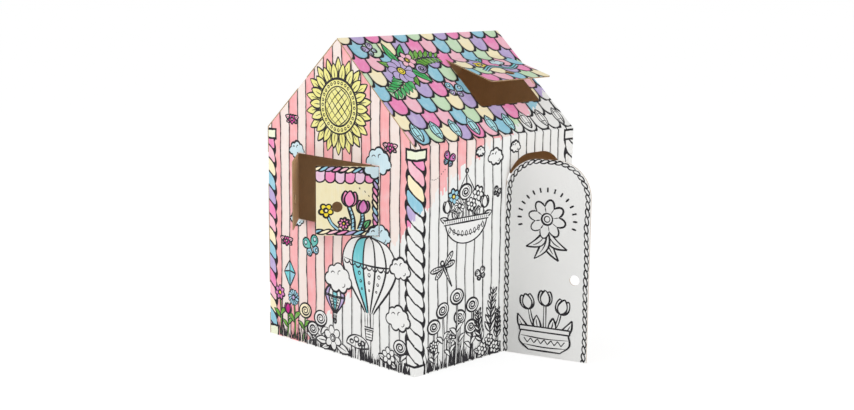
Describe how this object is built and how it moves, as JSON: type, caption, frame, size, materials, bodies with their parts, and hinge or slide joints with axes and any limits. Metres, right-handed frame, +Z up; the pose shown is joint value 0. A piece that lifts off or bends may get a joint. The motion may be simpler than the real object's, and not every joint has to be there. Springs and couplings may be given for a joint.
{
  "type": "cardboard playhouse",
  "caption": "Free-standing gable-roofed playhouse folded from printed corrugated board, with a hinged arched door, window shutters and a skylight flap.",
  "frame": {"origin": "floor level at the middle of the front wall's length and of its thickness", "axes": "+Z up, +Y from the front wall back into the house, +X along the front wall towards the door"},
  "size_m": [1.0546, 1.1705, 1.22],
  "materials": {
    "printed_board": "matte white-faced corrugated board with printed line art, brown inside"
  },
  "bodies": {
    "house": {"front_sheet": "printed_board", "back_sheet": "printed_board"},
    "door_leaf": {"door": "printed_board"},
    "left_front_leaf": {"left_front_shutter": "printed_board"},
    "left_back_leaf": {"left_back_shutter": "printed_board"},
    "right_front_leaf": {"right_front_shutter": "printed_board"},
    "right_back_leaf": {"right_back_shutter": "printed_board"},
    "skylight_leaf": {"skylight_flap": "printed_board"}
  },
  "joints": [
    {"name": "door_hinge", "type": "hinge", "parent": "house", "child": "door_leaf", "pos_m": [0.041, -0.002, 0], "axis": [0, 0, -1], "range_deg": [-72, 93]},
    {"name": "left_front_hinge", "type": "hinge", "parent": "house", "child": "left_front_leaf", "pos_m": [-0.445, 0.188, 0.6325], "axis": [0, 0, 1], "range_deg": [-45, 120]},
    {"name": "left_back_hinge", "type": "hinge", "parent": "house", "child": "left_back_leaf", "pos_m": [-0.445, 0.654, 0.6325], "axis": [0, 0, -1], "range_deg": [-45, 120]},
    {"name": "right_front_hinge", "type": "hinge", "parent": "house", "child": "right_front_leaf", "pos_m": [0.445, 0.182, 0.6325], "axis": [0, 0, -1], "range_deg": [0, 165]},
    {"name": "right_back_hinge", "type": "hinge", "parent": "house", "child": "right_back_leaf", "pos_m": [0.445, 0.648, 0.6325], "axis": [0, 0, 1], "range_deg": [0, 165]},
    {"name": "skylight_hinge", "type": "hinge", "parent": "house", "child": "skylight_leaf", "pos_m": [0.2, 0.3109, 1.12565], "axis": [-1, 0, 0], "range_deg": [-26, 139]}
  ]
}
